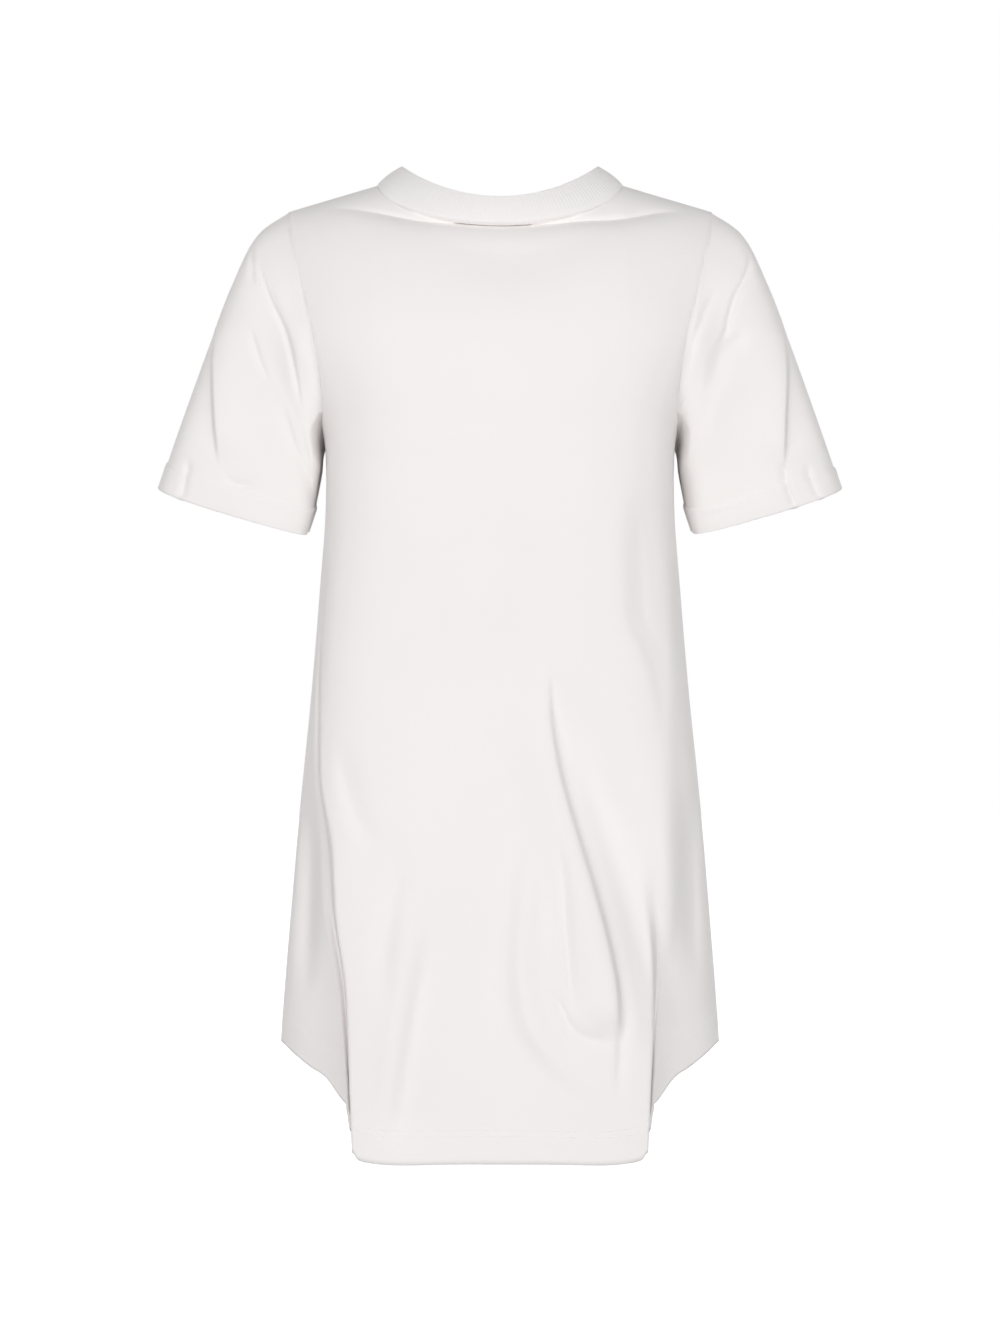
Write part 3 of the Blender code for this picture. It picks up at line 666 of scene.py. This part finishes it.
# ======== Materials ========
def cloth_material(name, colour, wale, course, relief):
    """Matt knitted cotton: fine V-shaped stitches as bump, soft sheen, faint random patches of colour and
    painted shade in the stitches' hollows.

    wale and course are a stitch's width and height in metres, and relief is how strongly it shows.
    """
    material = bpy.data.materials.new(name)
    material.use_nodes = True
    tree = material.node_tree
    nodes, links = tree.nodes, tree.links
    shader = nodes["Principled BSDF"]
    shader.inputs["Roughness"].default_value = 0.92
    shader.inputs["Metallic"].default_value = 0.0
    shader.inputs["Specular IOR Level"].default_value = 0.22
    shader.inputs["Sheen Weight"].default_value = 0.04
    shader.inputs["Sheen Roughness"].default_value = 0.45
    shader.inputs["Sheen Tint"].default_value = (1.0, 0.985, 0.975, 1.0)

    place = nodes.new("ShaderNodeTexCoord")
    split = nodes.new("ShaderNodeSeparateXYZ")
    links.new(place.outputs["UV"], split.inputs[0])

    def maths(operation, first, second=None):
        node = nodes.new("ShaderNodeMath")
        node.operation = operation
        for socket, value in zip(node.inputs, (first, second)):
            if value is None:
                continue
            if isinstance(value, (int, float)):
                socket.default_value = value
            else:
                links.new(value, socket)
        return node.outputs[0]

    # One stitch is a V: its two legs lean in opposite ways on each half of a wale.
    turns = maths("MULTIPLY", split.outputs["X"], 1 / wale)
    in_wale = maths("PINGPONG", turns, 0.5)
    lean = maths("MULTIPLY", in_wale, 0.9)
    rows = maths("MULTIPLY", split.outputs["Y"], 1 / course)
    legs = maths("SINE", maths("MULTIPLY", maths("ADD", rows, lean), 2 * math.pi))
    ridge = maths("SINE", maths("MULTIPLY", in_wale, 2 * math.pi))
    stitch = maths("ADD", maths("MULTIPLY", legs, 0.45), ridge)

    fuzz = nodes.new("ShaderNodeTexNoise")
    fuzz.inputs["Scale"].default_value = 900.0
    fuzz.inputs["Detail"].default_value = 3.0
    links.new(place.outputs["Object"], fuzz.inputs["Vector"])
    height = maths("ADD", stitch, maths("MULTIPLY", fuzz.outputs["Fac"], 0.8))
    bump = nodes.new("ShaderNodeBump")
    bump.inputs["Strength"].default_value = relief
    bump.inputs["Distance"].default_value = 0.00012
    links.new(height, bump.inputs["Height"])
    links.new(bump.outputs["Normal"], shader.inputs["Normal"])

    # The colour varies a little at random over the cloth, and the hollows between stitches are painted a
    # little darker as painted shade.
    patches = nodes.new("ShaderNodeTexNoise")
    patches.inputs["Scale"].default_value = 14.0
    patches.inputs["Detail"].default_value = 2.0
    links.new(place.outputs["Object"], patches.inputs["Vector"])
    tone_and_hollow_shade = maths("ADD", maths("MULTIPLY", patches.outputs["Fac"], 0.5), maths("MULTIPLY", stitch, 0.10))
    mix = nodes.new("ShaderNodeMix")
    mix.data_type = "RGBA"
    mix.inputs["A"].default_value = tuple(0.975 * c for c in colour) + (1.0,)
    mix.inputs["B"].default_value = tuple(min(1.0, 1.012 * c) for c in colour) + (1.0,)
    links.new(tone_and_hollow_shade, mix.inputs["Factor"])
    links.new(mix.outputs["Result"], shader.inputs["Base Color"])
    return material


def thread_material():
    """Sewing thread, a little shinier and more uneven than the cloth."""
    material = bpy.data.materials.new("thread")
    material.use_nodes = True
    tree = material.node_tree
    shader = tree.nodes["Principled BSDF"]
    shader.inputs["Roughness"].default_value = 0.6
    shader.inputs["Sheen Weight"].default_value = 0.1
    place = tree.nodes.new("ShaderNodeTexCoord")
    wave = tree.nodes.new("ShaderNodeTexNoise")
    wave.inputs["Scale"].default_value = 2500.0
    tree.links.new(place.outputs["Object"], wave.inputs["Vector"])
    ramp = tree.nodes.new("ShaderNodeMix")
    ramp.data_type = "RGBA"
    ramp.inputs["A"].default_value = (0.83, 0.80, 0.79, 1.0)
    ramp.inputs["B"].default_value = (0.91, 0.89, 0.88, 1.0)
    tree.links.new(wave.outputs["Fac"], ramp.inputs["Factor"])
    tree.links.new(ramp.outputs["Result"], shader.inputs["Base Color"])
    return material


JERSEY = cloth_material("jersey", (0.905, 0.878, 0.868), wale=0.00105, course=0.00085, relief=0.30)
RIB_KNIT = cloth_material("rib_knit", (0.905, 0.880, 0.872), wale=0.00095, course=0.0008, relief=0.25)
THREAD = thread_material()


# ======== The front and the back ========
RowRun = namedtuple("RowRun", "first last steps")
# Where a panel's rows are: 0 at its top edge, 1 at the underarm, 2 at the last level row and 3 at the hem.
# They are closest under the collar and round the underarm.
ROW_RUNS = (
    RowRun(0.0, 0.16, 40),
    RowRun(0.16, 0.90, 26),
    RowRun(0.90, 1.0, 12),
    RowRun(1.0, 1.03, 8),
    RowRun(1.03, 2.0, 82),
    RowRun(2.0, 3.0, 35),
)


def panel(facing, folds):
    """The grid of the back or the front, from the wearer's left to right, with all its folds."""
    across = np.linspace(0.0, 1.0, RAW_COLUMNS)
    runs = [np.linspace(run.first, run.last, run.steps + 1)[1:] for run in ROW_RUNS]
    rows = np.concatenate([[0.0], *runs])
    left = panel_half(across, rows, 1, facing)[:, ::-1]
    right = panel_half(across, rows, -1, facing)[:, 1:]
    grid = np.concatenate([left, right], axis=1)
    x, z = grid[..., 0], grid[..., 2]
    pinned = ease((body_edge(z) - np.abs(x)) / PIN_AT_SIDE) * ease(lengths(grid, 0) / PIN_AT_TOP)
    lift = sum(fold_lift(fold, x, z) for fold in folds)
    lift += surface_noise(grid, BODY_WAVE, PANEL_SEED + facing) * UNEVENNESS
    grid[..., 1] += facing * lift * pinned
    return respace(grid, PANEL_COLUMNS)


def sew(cloth, flat, hem_width, node):
    """Turns up a cloth's hem and makes its piece. flat is its grid before its seams were drawn in."""
    from_top = lengths(flat, 0)
    to_hem = from_top[-1:] - from_top
    turned = ease((hem_width - to_hem) / HEM_STEP + 0.5)
    ditch = np.exp(-(((to_hem - hem_width + HEM_DITCH_BELOW) / HEM_DITCH_WIDTH) ** 2))
    cloth.move(HEM_RISE * turned - HEM_DITCH_DEPTH * ditch)
    inside = CLOTH_THICK + (HEM_THICK - CLOTH_THICK) * turned
    piece = cloth.build(inside, "jersey", JERSEY, flat_pattern(flat))
    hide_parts(node)
    return piece


def make_panel(name, facing, folds, node):
    grid = panel(facing, folds)
    if facing < 0:
        grid = grid[:, ::-1]
    cloth = Cloth(name, grid, closed=False)
    from_side = lengths(grid, 1)
    from_side = np.minimum(from_side, from_side[:, -1:] - from_side)
    ditch = np.exp(-((from_side / SEAM_WIDTH) ** 2)) + np.exp(-((lengths(grid, 0) / SEAM_WIDTH) ** 2))
    cloth.move(-SEAM_DEPTH * np.minimum(ditch, 1.0))
    return sew(cloth, grid, BODY_HEM_WIDTH, node), cloth


back, back_cloth = make_panel("back_cloth", 1, BACK_FOLDS, "back_panel")
front, front_cloth = make_panel("front_cloth", -1, FRONT_FOLDS, "front_panel")


# ======== The sleeves ========
def sleeve_grid(side, folds):
    """The rings of a sleeve from the armhole to its hem, with its folds. Each ring starts under the arm."""
    turn = np.linspace(0.0, 2 * np.pi, RAW_AROUND, endpoint=False) + np.pi
    cosine, sine = np.cos(turn), np.sin(turn)
    top = shoulder_line(SHOULDER_HALF_WIDTH)
    z_loop = UNDERARM_HEIGHT + (top - UNDERARM_HEIGHT) * (cosine + 1) / 2
    x_loop = body_edge(z_loop)
    to_back = sine >= 0
    y_loop = np.where(to_back, smooth_depth(x_loop, z_loop, 1), smooth_depth(x_loop, z_loop, -1))
    inner_flatness = LEFT_INNER_FLATNESS if side > 0 else RIGHT_INNER_FLATNESS
    bow = np.sign(sine) * np.abs(sine) ** (2 / np.where(cosine < 0, inner_flatness, SLEEVE_FLATNESS))
    rings = [np.stack([x_loop, y_loop, z_loop], axis=-1)]
    for along in np.linspace(0.0, 1.0, SLEEVE_ROWS)[1:]:
        out_x, out_z, in_x, in_z = (read(RINGS, name, along) for name in ("out_x", "out_z", "in_x", "in_z"))
        depth = np.where(to_back, read(RINGS, "back_depth", along), read(RINGS, "front_depth", along))
        x = (out_x + in_x) / 2 + cosine * (out_x - in_x) / 2
        z = (out_z + in_z) / 2 + cosine * (out_z - in_z) / 2
        z = z - np.abs(bow) * np.where(to_back, BACK_DROOP, FRONT_DROOP) * along**2
        blend = ease(1 - along / RINGS[2].along) if along < RINGS[2].along else 0.0
        y = bow * depth * (1 - blend) + y_loop * blend
        rings.append(np.stack([x, y, z], axis=-1))
    grid = np.array(rings)
    grid[..., 0] *= side
    if side > 0:
        grid = grid[:, ::-1]
    x, z = grid[..., 0], grid[..., 2]
    lift = sum(fold_lift(fold, x, z) for fold in folds) * np.where(grid[..., 1] > 0, 1.0, FRONT_SHARE)
    lift += surface_noise(grid, SLEEVE_WAVE, SLEEVE_SEED + side) * UNEVENNESS
    lift *= ease(lengths(grid, 0) / PIN_AT_SIDE) * ease(np.abs(grid[..., 1]) / PIN_AT_SLEEVE_SIDE)
    grid[..., 1] += np.sign(grid[..., 1]) * lift
    return respace(grid, SLEEVE_AROUND, closed=True)


def make_sleeve(name, side, folds, node):
    grid = sleeve_grid(side, folds)
    cloth = Cloth(name, grid, closed=True)
    cloth.move(-SEAM_DEPTH * np.exp(-((lengths(grid, 0) / SEAM_WIDTH) ** 2)))
    return sew(cloth, grid, SLEEVE_HEM_WIDTH, node), cloth


left_sleeve, left_cloth = make_sleeve("left_sleeve_cloth", 1, LEFT_SLEEVE_FOLDS, "sleeve_left")
right_sleeve, right_cloth = make_sleeve("right_sleeve_cloth", -1, RIGHT_SLEEVE_FOLDS, "sleeve_right")


# ======== The neck rib ========
RIBS = 216
POINTS_A_RIB = 4
RIB_PITCH = 0.0032
RIB_FACE_ROWS = 15
RIB_TURN_ROWS = 7
RIB_LAYER = 0.0012  # how far each of its two faces is from the band's middle
RIB_RELIEF = 0.00013
RIB_SWELL = 0.0013  # how far its outer face bulges out
RIB_INNER_SWELL = 0.0010  # how far its inner face follows
RIB_SEAM_DIP = 0.0009  # how far it is drawn in along its seam
RIB_SEAM_SHARE = 0.06
RIB_TURN_SHARE = 0.036  # how far its folded edge rises past the band, as a share of its width
RIB_TURN_START = 0.3  # where the fold's round begins and ends, in radians from the faces
NECK_SMOOTHING = 6.0  # points over which the two loops are evened out


def neck_loops():
    """The seam and the top edge of the rib, evenly spaced round the neck."""
    share = np.linspace(0.0, 1.0, 200)
    angle = share * np.pi / 2
    seams, tops = [], []
    for facing in (1, -1):
        x, z = neck_seam(share, facing)
        seams.append(np.stack([x, smooth_depth(x, z, facing), z], axis=-1))
        if facing > 0:
            depth, drop, bow = RIB_BACK_DEPTH, RIB_BACK_DROP, RIB_BACK_CURVE
        else:
            depth, drop, bow = RIB_FRONT_DEPTH, RIB_FRONT_DROP, RIB_FRONT_CURVE
        x, y = RIB_HALF_WIDTH * np.sin(angle), facing * depth * np.cos(angle)
        tops.append(np.stack([x, y, RIB_HEIGHT - drop * np.cos(angle) ** bow], axis=-1))
    mirror = np.array([-1.0, 1.0, 1.0])
    loops = [
        np.concatenate([b, f[-2::-1], f[1:] * mirror, b[-2:0:-1] * mirror]) for b, f in (seams, tops)
    ]
    closed = [np.concatenate([loop, loop[:1]]) for loop in loops]
    along = lengths(closed[0][None], 1)[0]
    steps = np.linspace(0.0, along[-1], RIBS * POINTS_A_RIB, endpoint=False)
    return [np.stack([np.interp(steps, along, loop[:, k]) for k in range(3)], axis=-1) for loop in closed]


def make_rib():
    """A band of rib knit, folded double along its top edge, with its ribs running across it."""
    seam, top = (blur(loop, NECK_SMOOTHING, 0, closed=True) for loop in neck_loops())
    up = top - seam
    width = np.linalg.norm(up, axis=1, keepdims=True)
    up = up / width
    around = np.roll(seam + top, -1, axis=0) - np.roll(seam + top, 1, axis=0)
    out = np.cross(up, around)
    out /= np.linalg.norm(out, axis=1, keepdims=True)
    # The band's section: (height as a share of its width, distance out in metres).
    face = np.linspace(0.0, 1.0, RIB_FACE_ROWS)
    dip = RIB_SEAM_DIP * np.exp(-((face / RIB_SEAM_SHARE) ** 2))
    outer = list(zip(face, RIB_LAYER + RIB_SWELL * np.sin(np.pi * face) - dip))
    turn = np.linspace(RIB_TURN_START, math.pi - RIB_TURN_START, RIB_TURN_ROWS)
    folded = list(zip(1 + RIB_TURN_SHARE * np.sin(turn), RIB_LAYER * np.cos(turn)))
    inner = list(zip(face, RIB_INNER_SWELL * np.sin(np.pi * face) - RIB_LAYER))[::-1]
    wave = np.cos(np.arange(RIBS * POINTS_A_RIB) * 2 * np.pi / POINTS_A_RIB)[:, None]
    rows = []
    for k, (h, off) in enumerate(outer + folded + inner):
        relief = RIB_RELIEF * min(1.0, k / 3) * (1 if off > 0 else -1)
        if h > 1:
            relief *= abs(off) / RIB_LAYER
        rows.append(seam + up * width * h + out * (off + relief * wave))
    grid = np.array(rows)
    count, columns = grid.shape[:2]
    index = np.arange(count * columns).reshape(count, columns)
    index = np.concatenate([index, index[:, :1]], axis=1)
    index = np.concatenate([index, index[:1]], axis=0)
    a, b = index[:-1, :-1].ravel(), index[1:, :-1].ravel()
    c, d = index[1:, 1:].ravel(), index[:-1, 1:].ravel()
    faces = np.stack([a, d, c, b], axis=1)
    along = np.broadcast_to(np.arange(columns) * RIB_PITCH / POINTS_A_RIB, (count, columns))
    across = lengths(grid, 0)
    pattern = np.stack([along, across], axis=-1).reshape(-1, 2)
    piece = mesh_object("rib_cloth", grid.reshape(-1, 3), faces, pattern, RIB_KNIT)
    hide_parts("neck_rib")
    return piece


rib = make_rib()


# ======== Stitches ========
STITCH_LENGTH = 0.0027
STITCH_PITCH = 0.0033
STITCH_RADIUS = 0.00026
STITCH_SIDES = 6
NEEDLE_INSET = 0.003  # how far the upper row is below the turned edge
NEEDLE_GAP = 0.0055
# Along a stitch: how far it stands out, and how thick it is, in radii.
StitchRing = namedtuple("StitchRing", "along out thick")
STITCH_RINGS = (
    StitchRing(0.0, -1.2, 0.5),
    StitchRing(0.2, 0.15, 1.0),
    StitchRing(0.5, 0.5, 1.1),
    StitchRing(0.8, 0.15, 1.0),
    StitchRing(1.0, -1.2, 0.5),
)


def line_at(cloth, from_hem):
    """The points and normals on a cloth's outer face, a distance up from its hem."""
    to_hem = lengths(cloth.grid, 0)
    to_hem = to_hem[-1:] - to_hem
    places, outs = [], []
    for column in range(cloth.shape[1]):
        key = to_hem[::-1, column]
        at = [np.interp(from_hem, key, cloth.grid[::-1, column, k]) for k in range(3)]
        out = np.array([np.interp(from_hem, key, cloth.normal[::-1, column, k]) for k in range(3)])
        places.append(np.array(at) + out * OUTER_FACE)
        outs.append(out / np.linalg.norm(out))
    if cloth.closed:
        places.append(places[0])
        outs.append(outs[0])
    return np.array(places), np.array(outs)


def stitches(places, outs):
    """The points and faces of a row of stitches laid along a line: each a flat capsule sunk at its ends."""
    along = lengths(places[None], 1)[0]
    starts = np.arange(0.0, along[-1] - STITCH_LENGTH, STITCH_PITCH)
    shares, sunk, wide = np.array(STITCH_RINGS).T
    sunk = sunk[:, None, None] * STITCH_RADIUS
    wide = wide[:, None, None] * STITCH_RADIUS
    turn = np.linspace(0, 2 * np.pi, STITCH_SIDES, endpoint=False)[None, :, None]
    # A stitch's faces: its walls between rings, then two for each end.
    index = np.arange(len(shares) * STITCH_SIDES).reshape(len(shares), STITCH_SIDES)
    after = np.roll(index, -1, axis=1)
    walls = np.stack([index[:-1], after[:-1], after[1:], index[1:]], axis=-1).reshape(-1, 4)
    ends = [ring[corners] for ring in (index[0, ::-1], index[-1]) for corners in ([0, 1, 2, 3], [0, 3, 4, 5])]
    faces = np.concatenate([walls, ends])
    points = []
    for start in starts:
        at = start + shares * STITCH_LENGTH
        middle = np.stack([np.interp(at, along, places[:, k]) for k in range(3)], axis=-1)
        out = np.stack([np.interp(at, along, outs[:, k]) for k in range(3)], axis=-1)
        run = middle[-1] - middle[0]
        side = np.cross(run / np.linalg.norm(run), out)
        rings = out[:, None] * (sunk + np.sin(turn) * wide) + side[:, None] * np.cos(turn) * wide
        points.append((middle[:, None] + rings).reshape(-1, 3))
    bases = np.arange(len(starts))[:, None, None] * index.size
    return np.concatenate(points), (faces + bases).reshape(-1, 4)


def make_stitches(name, cloth, hem_width):
    """The two needle rows that hold a turned hem."""
    points, faces, base = [], [], 0
    for needle in (0, 1):
        row_points, row_faces = stitches(*line_at(cloth, hem_width - NEEDLE_INSET - needle * NEEDLE_GAP))
        points.append(row_points)
        faces.append(row_faces + base)
        base += len(row_points)
    return mesh_object(name, np.concatenate(points), np.concatenate(faces), None, THREAD)


back_stitches = make_stitches("back_hem_stitches", back_cloth, BODY_HEM_WIDTH)
front_stitches = make_stitches("front_hem_stitches", front_cloth, BODY_HEM_WIDTH)
left_stitches = make_stitches("left_hem_stitches", left_cloth, SLEEVE_HEM_WIDTH)
right_stitches = make_stitches("right_hem_stitches", right_cloth, SLEEVE_HEM_WIDTH)


# ======== Room, light and camera ========
CAMERA_DISTANCE = 5.0
CAMERA_HEIGHT = -0.4330
LENS = 150.0
SENSOR_WIDTH = 36.0
FLOOR_HEIGHT = -1.38
FLOOR_HALF = 30.0
FLOOR_GLOW = 0.8  # keeps the floor as pale as the wall behind it
AMBIENT = 0.42
LIGHT_DISTANCE = 4.0
LIGHT_OFFSET = 0.04
LIGHT_HEIGHT = -0.10
LIGHT_SIZE = (9.0, 4.4)
LIGHT_POWER = 203.0
AIM_HEIGHT = -0.45


def make_floor():
    bpy.ops.mesh.primitive_plane_add(size=2 * FLOOR_HALF, location=(0, 0, FLOOR_HEIGHT))
    floor = bpy.context.object
    floor.name = "floor"
    material = bpy.data.materials.new("pale_floor")
    material.use_nodes = True
    shader = material.node_tree.nodes["Principled BSDF"]
    shader.inputs["Base Color"].default_value = (0.92, 0.92, 0.92, 1.0)
    shader.inputs["Roughness"].default_value = 1.0
    shader.inputs["Specular IOR Level"].default_value = 0.0
    shader.inputs["Emission Color"].default_value = (1.0, 1.0, 1.0, 1.0)
    shader.inputs["Emission Strength"].default_value = FLOOR_GLOW
    floor.data.materials.append(material)
    floor.visible_diffuse = False


def make_light(name, facing):
    """A wide soft light behind the wearer where facing is 1, and in front where it is -1."""
    data = bpy.data.lights.new(name, "AREA")
    data.shape = "RECTANGLE"
    data.size, data.size_y = LIGHT_SIZE
    data.energy = LIGHT_POWER
    lamp = bpy.data.objects.new(name, data)
    lamp.location = (facing * LIGHT_OFFSET, facing * LIGHT_DISTANCE, LIGHT_HEIGHT)
    lamp.visible_camera = False
    aim = Vector((0, 0, AIM_HEIGHT)) - lamp.location
    lamp.rotation_euler = aim.to_track_quat("-Z", "Y").to_euler()
    bpy.context.scene.collection.objects.link(lamp)


def make_world():
    """Even studio light from all round. The camera sees plain white behind the dress."""
    world = bpy.data.worlds.new("studio")
    world.use_nodes = True
    nodes, links = world.node_tree.nodes, world.node_tree.links
    background = nodes["Background"]
    background.inputs["Color"].default_value = (1.0, 1.0, 1.0, 1.0)
    seen = nodes.new("ShaderNodeLightPath")
    strength = nodes.new("ShaderNodeMapRange")
    strength.inputs["To Min"].default_value = AMBIENT
    strength.inputs["To Max"].default_value = 1.0
    links.new(seen.outputs["Is Camera Ray"], strength.inputs["Value"])
    links.new(strength.outputs["Result"], background.inputs["Strength"])
    bpy.context.scene.world = world


def make_camera():
    data = bpy.data.cameras.new("camera")
    data.lens = LENS
    data.sensor_width = SENSOR_WIDTH
    data.clip_end = 200.0
    camera = bpy.data.objects.new("camera", data)
    camera.location = (0.0, CAMERA_DISTANCE, CAMERA_HEIGHT)
    camera.rotation_euler = (math.pi / 2, 0.0, math.pi)
    bpy.context.scene.collection.objects.link(camera)
    bpy.context.scene.camera = camera


make_floor()
make_world()
make_camera()
make_light("softbox", 1)
make_light("fill", -1)
bpy.context.scene.view_settings.view_transform = "Standard"
bpy.context.scene.view_settings.look = "None"
